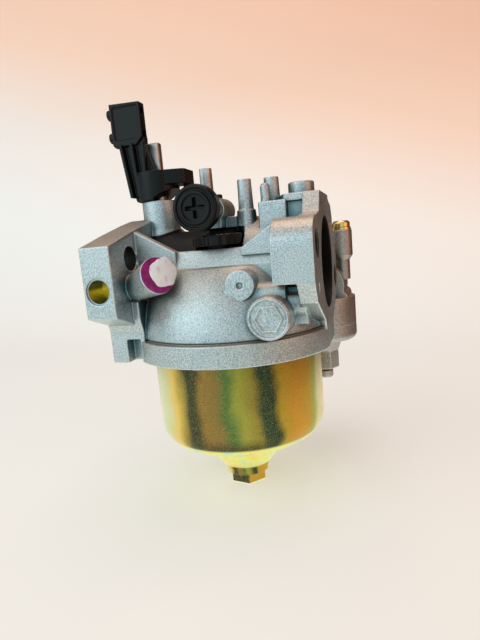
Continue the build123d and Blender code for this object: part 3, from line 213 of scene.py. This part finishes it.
# ---------------------------------------------------------------- materials
def cast_alloy():
    """Sandy die casting: bright grain and milled flange faces, with painted light: painted teal shade in corners and
    creases, painted tan reflection on upward ledges, painted edge highlights, painted brown shade on the far side, and
    the bores painted dark as shade.
    """
    s = Shader("cast_alloy")
    grain = s.noise(0.36, 2.0, 0.7)
    lumps = s.noise(1.3, 3.0)
    cloud = s.noise(11.0, 4.0)
    tint = s.ramp(cloud, [(0.3, (0.38, 0.44, 0.455)), (0.55, (0.47, 0.51, 0.52)), (0.8, (0.54, 0.56, 0.56))])
    speckled = s.mix(s.spread(grain, 0.0, 0.75, 0.42, 0.66), tint, (0.80, 0.86, 0.87))
    specks = s.mix(s.spread(grain, 0.6, 0.0, 0.28, 0.44), speckled, (0.16, 0.19, 0.20))
    x, y, z = s.split(s.coords)
    nx, ny, nz = s.normal()
    rising = s.spread(nz, 0.0, 1.0, 0.25, 0.75)
    # Painted shade: corners found by ambient occlusion and creases found by concave pointiness take this colour, teal
    # where they face sideways and tan where they face up.
    corner = s.mix(rising, (0.055, 0.165, 0.195), (0.42, 0.30, 0.25))
    wide = s.spread(s.shade(5.0), 0.0, 1.0, 0.18, 0.80)
    tight = s.spread(s.shade(1.3), 0.30, 1.0, 0.35, 0.85)
    sharp = s.pointiness()
    # Painted highlight: sharp convex edges, found by pointiness, are lightened towards pale cyan.
    tarnish_and_edge_highlight = s.mix(s.spread(sharp, 0.0, 0.8, 0.515, 0.565), specks, (0.86, 0.93, 0.95))
    # Painted shade in concave creases.
    hollow = s.spread(sharp, 0.35, 1.0, 0.44, 0.492)
    colour = s.mix(s.math("MULTIPLY", s.math("MULTIPLY", wide, tight), hollow), corner, tarnish_and_edge_highlight)
    # Painted reflection: surfaces that face up are tinted warm brown.
    colour = s.mix(s.math("MULTIPLY", rising, 0.85), colour, s.mix(1.0, colour, (1.0, 0.76, 0.62), "MULTIPLY"))
    off_face = s.math("MINIMUM", s.math("SUBTRACT", x, BODY_LOW.x), s.math("SUBTRACT", BODY_HIGH.x, x))
    milled = s.spread(off_face, 1.0, 0.0, 0.15 * MM, 0.3 * MM)
    lines = s.noise(0.5, 2.0, 0.5, (1.0, 0.08, 1.0))
    colour = s.mix(milled, colour, s.mix(s.spread(lines, 0.0, 1.0, 0.35, 0.65), (0.60, 0.58, 0.56), (0.76, 0.74, 0.72)))
    # Painted shade: the far side, from y 15 mm to 27 mm, is darkened towards brown.
    far_side = s.spread(y, 0.0, 0.62, 15 * MM, 27 * MM)
    colour = s.mix(far_side, colour, s.mix(1.0, colour, (0.78, 0.52, 0.42), "MULTIPLY"))
    # Painted shade: everything within THROAT_R of the bore axis, and the stud holes in the flanges, is painted near
    # black.
    throat = s.spread(s.off_axis(0.0, 0.0), 1.0, 0.0, THROAT_R, THROAT_R + 0.3 * MM)
    in_flange = s.math("GREATER_THAN", s.math("ABSOLUTE", s.math("SUBTRACT", x, BETWEEN_FLANGES)), FLANGE_REACH)
    for stud_y, stud_z in STUDS:
        inside = s.spread(s.off_axis(stud_y, stud_z), 1.0, 0.0, STUD_R, STUD_R + 0.3 * MM)
        throat = s.math("MAXIMUM", throat, s.math("MULTIPLY", s.math("MULTIPLY", inside, in_flange), 0.9))
    colour = s.mix(throat, colour, (0.018, 0.014, 0.012))
    rough = s.math("ADD", s.spread(grain, 0.34, 0.52, 0.3, 0.7), s.spread(cloud, -0.05, 0.05, 0.3, 0.7))
    rough = s.math("SUBTRACT", rough, s.math("MULTIPLY", milled, 0.14))
    fine = s.bump(grain, 0.05, 0.6)
    normal = s.bump(lumps, 0.10, 0.45, fine)
    return s.finish(colour, rough, normal, metallic=s.spread(rising, 1.0, 0.5))


# position round the bowl in degrees, 0 at -Y and growing towards +X, with the colour there; the hues are the plating's
# iridescence and the near-black bands are painted reflections
ZINC_BANDS = [
    (-180, (0.70, 0.40, 0.04)), (-150, (0.10, 0.12, 0.03)), (-128, (0.55, 0.42, 0.06)),
    (-100, (0.78, 0.55, 0.20)), (-62, (0.86, 0.74, 0.58)), (-42, (0.70, 0.72, 0.42)),
    (-31, (0.86, 0.58, 0.13)), (-24, (0.42, 0.30, 0.05)), (-18, (0.035, 0.042, 0.02)),
    (-12, (0.05, 0.05, 0.02)), (-6, (0.30, 0.17, 0.035)), (3, (0.24, 0.16, 0.04)),
    (9, (0.07, 0.17, 0.04)), (16, (0.36, 0.34, 0.045)), (25, (0.30, 0.22, 0.03)),
    (30, (0.025, 0.055, 0.025)), (37, (0.022, 0.045, 0.02)), (42, (0.48, 0.30, 0.02)),
    (53, (0.66, 0.28, 0.02)), (64, (0.58, 0.32, 0.02)), (71, (0.40, 0.40, 0.06)),
    (79, (0.80, 0.66, 0.34)), (100, (0.82, 0.60, 0.30)), (125, (0.20, 0.24, 0.06)),
    (150, (0.75, 0.52, 0.06)), (180, (0.70, 0.40, 0.04)),
]


def yellow_zinc():
    """Yellow plating with painted reflections: bands round the wall, partly the plating's iridescence and partly
    painted reflections, and bright yellow where the surface turns down.
    """
    s = Shader("yellow_zinc")
    nx, ny, nz = s.normal()
    turn = s.math("ARCTAN2", nx, s.math("MULTIPLY", ny, -1.0))
    wander = s.spread(s.noise(16.0, 3.0), -0.07, 0.07, 0.3, 0.7)
    angle = s.spread(s.math("ADD", turn, wander), 0.0, 1.0, -math.pi, math.pi)
    low_half = [(0.5 + d / 360, c) for d, c in ZINC_BANDS if d <= 3]
    high_half = [(0.5 + d / 360, c) for d, c in ZINC_BANDS if d >= 3]
    side = s.math("GREATER_THAN", angle, 0.5 + 3 / 360)
    # Partly painted reflection: the near-black bands stand in for reflections, and the hues are the plating's own.
    bands = s.mix(side, s.ramp(angle, low_half), s.ramp(angle, high_half))
    cloud = s.noise(6.0, 4.0)
    down = s.ramp(cloud, [(0.30, (0.90, 0.66, 0.12)), (0.5, (0.92, 0.86, 0.20)), (0.66, (0.60, 0.80, 0.50))])
    sloping = s.spread(nz, 1.0, 0.0, -0.60, -0.50)
    # Painted reflection: a dark band where the wall starts to turn down, strongest towards the front.
    dusk = s.spread(nz, 0.0, 1.0, 0.0, -0.38)
    dusk = s.math("MULTIPLY", dusk, s.spread(s.math("ABSOLUTE", s.math("SUBTRACT", turn, 0.12)), 0.85, 0.0, 0.30, 0.62))
    wall = s.mix(dusk, bands, (0.045, 0.035, 0.012))
    flecks = s.spread(s.spots(0.8), 0.5, 0.0, 0.05, 0.14)
    colour = s.mix(sloping, s.mix(flecks, wall, (0.75, 0.66, 0.30)), down)
    grain = s.noise(0.3, 3.0)
    colour = s.mix(s.spread(grain, 0.0, 0.18, 0.45, 0.7), colour, (0.80, 0.74, 0.40))
    rough = s.math("ADD", s.spread(cloud, 0.24, 0.36, 0.3, 0.7), s.spread(grain, -0.03, 0.05, 0.3, 0.7))
    normal = s.bump(grain, 0.015, 0.5)
    return s.finish(colour, rough, normal, metallic=0.88)


def machined(name, colour, rough, lines_mm=0.18, tarnish_and_edge_highlight=0.55):
    """Turned or drawn metal: fine directional lines, cloudy tarnish, and painted shade in the corners."""
    s = Shader(name)
    lines = s.noise(lines_mm, 2.0, 0.6, (1.0, 1.0, 0.12))
    cloud = s.noise(3.0, 4.0)
    dark = tuple(c * tarnish_and_edge_highlight for c in colour)
    tint = s.mix(s.spread(cloud, 0.0, 0.8, 0.35, 0.7), colour, dark)
    # Painted shade: corners found by ambient occlusion are darkened towards a fifth of the colour.
    tint = s.mix(s.spread(s.shade(1.5), 0.75, 0.0, 0.2, 0.8), tint, tuple(c * 0.2 for c in colour))
    roughness = s.spread(lines, rough - 0.05, rough + 0.12, 0.3, 0.7)
    return s.finish(tint, roughness, s.bump(lines, 0.02, 0.5), metallic=1.0)


def moulded_plastic(name, colour, rough, light=0.012):
    """Moulded plastic, rubber or fibre: faint grain and handling marks."""
    s = Shader(name)
    grain = s.noise(0.35, 3.0)
    cloud = s.noise(4.0, 3.0)
    rubbed = tuple(min(1.0, c + light) for c in colour)
    tint = s.mix(s.spread(cloud, 0.0, 1.0, 0.35, 0.7), colour, rubbed)
    roughness = s.math("ADD", s.spread(cloud, rough - 0.06, rough + 0.08, 0.3, 0.7), s.spread(grain, 0.0, 0.06))
    return s.finish(tint, roughness, s.bump(grain, 0.014, 0.6), Specular_IOR_Level=0.22)


def woven_mesh():
    """Fine strainer gauze as crossed wires in the colour and bump."""
    s = Shader("strainer_mesh")
    x, y, z = s.split(s.coords)
    turn = s.math("ARCTAN2", s.math("SUBTRACT", x, BOWL.x), y)
    weft = s.math("SINE", s.math("MULTIPLY", z, 2 * math.pi / (0.5 * MM)))
    warp = s.math("SINE", s.math("MULTIPLY", turn, 900.0))
    wires = s.math("MAXIMUM", weft, warp)
    tint = s.mix(s.spread(wires, 0.0, 1.0, -0.2, 0.5), (0.06, 0.055, 0.04), (0.66, 0.62, 0.52))
    return s.finish(tint, 0.4, s.bump(wires, 0.1, 0.8), metallic=1.0)


def hole_lining():
    """Bright lining of the side hole, in painted light: a painted yellow highlight streak where it catches the light, a
    painted bright far end, and painted grey-green shade beside them.
    """
    s = Shader("hole_lining")
    x, y, z = s.split(s.coords)
    # Painted highlight: a yellow streak at one height and a bright far end; the rest of the lining is painted
    # grey-green shade.
    off = s.math("ABSOLUTE", s.math("SUBTRACT", z, LINING.z - 0.7 * MM))
    streak = s.spread(s.math("ADD", off, s.math("MULTIPLY", s.noise(2.0), 0.8 * MM)), 1.0, 0.0, 0.6 * MM, 2.0 * MM)
    deep = s.spread(y, 0.0, 1.0, LINING.y + 1.6 * MM, LINING.y + 2.2 * MM)
    lit = s.math("MAXIMUM", streak, deep)
    colour = s.mix(lit, (0.20, 0.23, 0.16), (0.98, 0.80, 0.16))
    mouth = s.math("LESS_THAN", y, LINING_LOW.y + 0.1 * MM)
    colour = s.mix(mouth, colour, (0.45, 0.50, 0.51))
    grain = s.noise(0.35, 3.0)
    return s.finish(colour, s.spread(grain, 0.22, 0.36), s.bump(grain, 0.02, 0.5), metallic=0.9)


def magenta_cap():
    s = Shader("magenta_cap")
    cloud = s.noise(1.5, 3.0)
    tint = s.ramp(cloud, [(0.3, (0.16, 0.002, 0.09)), (0.6, (0.32, 0.008, 0.19)), (0.8, (0.46, 0.05, 0.32))])
    return s.finish(tint, s.spread(cloud, 0.3, 0.5), s.bump(s.noise(0.4), 0.02, 0.5))


def white_paint():
    """A dab of thick white paint with a faint violet cast where it thins."""
    s = Shader("white_paint")
    cloud = s.noise(1.8, 3.0)
    tint = s.ramp(cloud, [(0.28, (0.72, 0.60, 0.76)), (0.42, (0.94, 0.92, 0.95)), (0.75, (0.98, 0.98, 0.98))])
    ridges = s.noise(0.9, 3.0, 0.6, (1.0, 1.0, 0.35))
    return s.finish(tint, s.spread(cloud, 0.35, 0.5), s.bump(ridges, 0.12, 0.8))


MATERIALS = {
    "cast_alloy": cast_alloy(),
    "zinc_gold": yellow_zinc(),
    "gold_screw": machined("gold_screw", (0.92, 0.66, 0.22), 0.18, tarnish_and_edge_highlight=0.8),
    "black_plastic": moulded_plastic("black_plastic", (0.004, 0.0038, 0.0038), 0.24, 0.003),
    "brass": machined("brass", (0.74, 0.67, 0.34), 0.26, tarnish_and_edge_highlight=0.7),
    "steel": machined("steel", (0.60, 0.52, 0.48), 0.30),
    "spring_steel": machined("spring_steel", (0.52, 0.52, 0.54), 0.25),
    "rubber": moulded_plastic("rubber", (0.016, 0.016, 0.017), 0.60),
    "fibre": moulded_plastic("fibre", (0.22, 0.17, 0.11), 0.70),
    "float_plastic": moulded_plastic("float_plastic", (0.03, 0.03, 0.03), 0.65),
    "white_paint": magenta_cap(),
    "mesh": woven_mesh(),
}
for part in frame["record"]["subparts"]:
    ob = NODES[part["node"]]
    ob.data.materials.clear()
    ob.data.materials.append(MATERIALS[part["material_slot"]])
NODES["side_hole_bush"].data.materials[0] = hole_lining()
# Painted shade: the choke plate is made near-black steel so that the bore reads as dark shade.
shade_black_plate = machined("shade_black_steel", (0.10, 0.095, 0.09), 0.38)
NODES["choke_plate"].data.materials[0] = shade_black_plate


def soften_edges(node, voxel_mm, rounds):
    """Give a piece the small round edges that a die or a tool leaves; its CAD mesh stays as it is."""
    skin = NODES[node].modifiers.new("skin", "REMESH")
    skin.mode = "VOXEL"
    skin.voxel_size = voxel_mm * MM
    skin.use_smooth_shade = True
    relax = NODES[node].modifiers.new("soft edges", "SMOOTH")
    relax.factor = 0.5
    relax.iterations = rounds


soften_edges("carburetor_body", 0.19, 3)
for name, voxel in {
    "throttle_lever": 0.16, "throttle_stop_screw": 0.13, "pilot_jet": 0.13, "bowl_bolt": 0.14,
    "sediment_cup": 0.20, "choke_shaft_cap": 0.14, "fuel_valve_lever": 0.18, "drain_screw": 0.12,
    "passage_plug_screw": 0.10, "fuel_inlet_nipple": 0.14,
}.items():
    soften_edges(name, voxel, 3)


# ---------------------------------------------------------------- paint dab on the sealed pilot screw
def paint_dab():
    """Thick irregular dab, laid over the upper right of the cap that seals the pilot screw."""
    axis = Vector((0.82, -0.50, 0.27)).normalized()
    across = axis.cross(Vector((0, 0, 1))).normalized() * -1
    rise = across.cross(axis) * -1
    cap = NODES["pilot_screw_cap"]
    points = [v.co for v in cap.data.vertices]
    top = max(p.dot(axis) for p in points)
    face = [p for p in points if p.dot(axis) > top - 0.01 * MM]
    centre = sum(face, Vector()) / len(face)
    centre += across * 1.25 * MM + rise * 0.35 * MM
    mesh = bmesh.new()
    rings, spokes = 14, 72
    grid = []
    for i in range(1, rings + 1):
        share = i / rings
        row = []
        for k in range(spokes):
            a = 2 * math.pi * k / spokes
            wobble = noise.noise(Vector((math.cos(a) * 1.7, math.sin(a) * 1.7, 4.0)))
            edge = (3.9 + 0.8 * wobble + 1.1 * max(0.0, math.cos(a - 0.7)) ** 4) * MM
            spot = centre + (across * math.cos(a) + rise * math.sin(a)) * edge * share
            swirl = noise.noise(spot * 900)
            height = (0.55 * (1 - share ** 3) + 0.10 * swirl * (1 - share)) * MM
            row.append(mesh.verts.new(spot + axis * (height - 0.05 * MM)))
        grid.append(row)
    hub = mesh.verts.new(centre + axis * 0.55 * MM)
    under = mesh.verts.new(centre - axis * 0.2 * MM)
    for k in range(spokes):
        n = (k + 1) % spokes
        mesh.faces.new((hub, grid[0][k], grid[0][n]))
        for i in range(rings - 1):
            mesh.faces.new((grid[i][k], grid[i + 1][k], grid[i + 1][n], grid[i][n]))
        mesh.faces.new((grid[-1][n], grid[-1][k], under))
    bmesh.ops.recalc_face_normals(mesh, faces=mesh.faces)
    data = bpy.data.meshes.new("paint_dab")
    mesh.to_mesh(data)
    mesh.free()
    for polygon in data.polygons:
        polygon.use_smooth = True
    ob = bpy.data.objects.new("paint_dab", data)
    bpy.context.scene.collection.objects.link(ob)
    data.materials.append(white_paint())
    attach(ob, "housing")


paint_dab()


# ---------------------------------------------------------------- stage, light and camera
def camera():
    """Camera on the near side, a little to the right and above, leaning a few degrees."""
    azimuth, elevation, roll = (math.radians(a) for a in (16.96, 9.11, 5.01))
    flat = math.cos(elevation)
    back = Vector((math.sin(azimuth) * flat, -math.cos(azimuth) * flat, math.sin(elevation)))
    right = Vector((math.cos(azimuth), math.sin(azimuth), 0))
    up = back.cross(right)
    turned_right = right * math.cos(roll) - up * math.sin(roll)
    turned_up = right * math.sin(roll) + up * math.cos(roll)
    data = bpy.data.cameras.new("camera")
    data.lens = 27.02
    data.sensor_width = 36.0
    data.clip_start = 0.005
    ob = bpy.data.objects.new("camera", data)
    place = Matrix((turned_right, turned_up, back)).transposed().to_4x4()
    place.translation = Vector((73.25, -136.99, 7.29)) * MM
    ob.matrix_world = place
    bpy.context.scene.collection.objects.link(ob)
    bpy.context.scene.camera = ob


def area(name, place, size, power, colour):
    """Round soft light at place, aimed at the middle of the object."""
    data = bpy.data.lights.new(name, "AREA")
    data.shape = "DISK"
    data.size = size
    data.energy = power
    data.color = colour
    ob = bpy.data.objects.new(name, data)
    ob.location = place
    direction = Vector((0.03, 0, 0)) - Vector(place)
    ob.rotation_euler = direction.to_track_quat("-Z", "Y").to_euler()
    bpy.context.scene.collection.objects.link(ob)


def pale_paper(low):
    """Pale paper with painted light: it glows a little by itself, so that its shadows stay soft and warm, and
    reflection rays see a separate painted reflection, pale cool in front, brown behind and bright under the object, so
    the metal mirrors it as brown.
    """
    s = Shader("pale_paper")
    x, _, z = s.split(s.coords)
    lean = s.math("ADD", z, s.math("MULTIPLY", x, 0.35))
    height = s.spread(lean, 0.0, 1.0, low, low + 0.34)
    tint = s.ramp(height, PAPER)
    seen = s.add("ShaderNodeLightPath").outputs["Is Camera Ray"]
    y = s.split(s.coords)[1]
    side = s.math("ADD", s.math("MULTIPLY", x, 0.50), s.math("MULTIPLY", y, 0.87))
    # Painted reflection: what reflection rays see, pale cool in front, brown behind, and bright near the object's foot.
    mirrored = s.ramp(s.spread(side, 0.0, 1.0, -0.32, 0.10), [
        (0.0, (0.80, 0.93, 0.93)), (0.35, (0.46, 0.50, 0.48)), (0.7, (0.22, 0.16, 0.12)), (1.0, (0.10, 0.055, 0.04))])
    away = s.math("SQRT", s.math("ADD", s.math("MULTIPLY", x, x), s.math("MULTIPLY", y, y)))
    mirrored = s.mix(s.spread(away, 1.0, 0.0, 0.12, 0.22), mirrored, (0.92, 0.95, 0.85))
    # Painted light: camera rays see the GLOW ramp as emission, and reflection rays see the painted reflection.
    s.link(s.mix(seen, mirrored, s.ramp(height, GLOW)), s.bsdf.inputs["Emission Color"])
    s.bsdf.inputs["Emission Strength"].default_value = 1.0
    s.bsdf.inputs["Specular IOR Level"].default_value = 0.0
    return s.finish(s.mix(seen, (0.02, 0.015, 0.01), tint), 0.9)


# PAPER is the paper's colour up the sweep; GLOW is the painted glow that stands in for light on it, warmer higher up.
PAPER = [(0.0, (0.55, 0.55, 0.55)), (0.35, (0.52, 0.50, 0.49)), (0.65, (0.48, 0.40, 0.35)), (1.0, (0.46, 0.35, 0.29))]
GLOW = [(0.0, (0.46, 0.44, 0.40)), (0.35, (0.50, 0.40, 0.34)), (0.65, (0.54, 0.31, 0.21)), (1.0, (0.50, 0.24, 0.14))]


def backdrop(low):
    """Pale sweep: a floor that curves up behind the object."""
    bend, behind, turn_r, height, half_width = 16, 0.16, 0.25, 1.3, 1.6
    profile = [(-0.8, 0.0), (behind, 0.0)]
    for i in range(1, bend + 1):
        a = math.radians(90 * i / bend)
        profile.append((behind + turn_r * math.sin(a), turn_r * (1 - math.cos(a))))
    profile.append((behind + turn_r, height))
    verts = [(x, y, z + low) for y, z in profile for x in (-half_width, half_width)]
    faces = [(2 * i, 2 * i + 1, 2 * i + 3, 2 * i + 2) for i in range(len(profile) - 1)]
    mesh = bpy.data.meshes.new("backdrop")
    mesh.from_pydata(verts, [], faces)
    for polygon in mesh.polygons:
        polygon.use_smooth = True
    ob = bpy.data.objects.new("backdrop", mesh)
    bpy.context.scene.collection.objects.link(ob)
    mesh.materials.append(pale_paper(low))


def studio_world():
    """Cool light from the viewer's left, dim brown everywhere else."""
    world = bpy.data.worlds.new("studio")
    bpy.context.scene.world = world
    world.use_nodes = True
    tree = world.node_tree
    coords = tree.nodes.new("ShaderNodeTexCoord")
    facing = tree.nodes.new("ShaderNodeVectorMath")
    facing.operation = "DOT_PRODUCT"
    facing.inputs[1].default_value = Vector((-0.35, -0.90, 0.12)).normalized()
    tree.links.new(coords.outputs["Generated"], facing.inputs[0])
    span = tree.nodes.new("ShaderNodeMapRange")
    span.inputs["From Min"].default_value = -1.0
    span.inputs["From Max"].default_value = 1.0
    tree.links.new(facing.outputs["Value"], span.inputs["Value"])
    ramp = tree.nodes.new("ShaderNodeValToRGB")
    stops = WORLD
    while len(ramp.color_ramp.elements) < len(stops):
        ramp.color_ramp.elements.new(0.5)
    for element, (position, colour) in zip(ramp.color_ramp.elements, stops):
        element.position = position
        element.color = (*colour, 1.0)
    tree.links.new(span.outputs["Result"], ramp.inputs["Fac"])
    background = tree.nodes["Background"]
    tree.links.new(ramp.outputs["Color"], background.inputs["Color"])
    background.inputs["Strength"].default_value = 1.0


WORLD = [(0.0, (0.16, 0.08, 0.055)), (0.45, (0.22, 0.13, 0.095)), (0.64, (0.34, 0.29, 0.27)),
         (0.78, (0.48, 0.59, 0.62)), (1.0, (0.68, 0.90, 0.97))]


bpy.context.scene.view_settings.view_transform = "Standard"
backdrop(cad_box[0].z)
camera()
area("key", (-0.42, -0.50, 0.38), 0.80, 1.3, (0.90, 1.0, 1.0))
area("fill", (0.50, -0.16, 0.10), 0.40, 0.40, (1.0, 0.55, 0.36))
area("top", (0.05, 0.10, 0.75), 0.60, 2.4, (1.0, 0.84, 0.74))
studio_world()
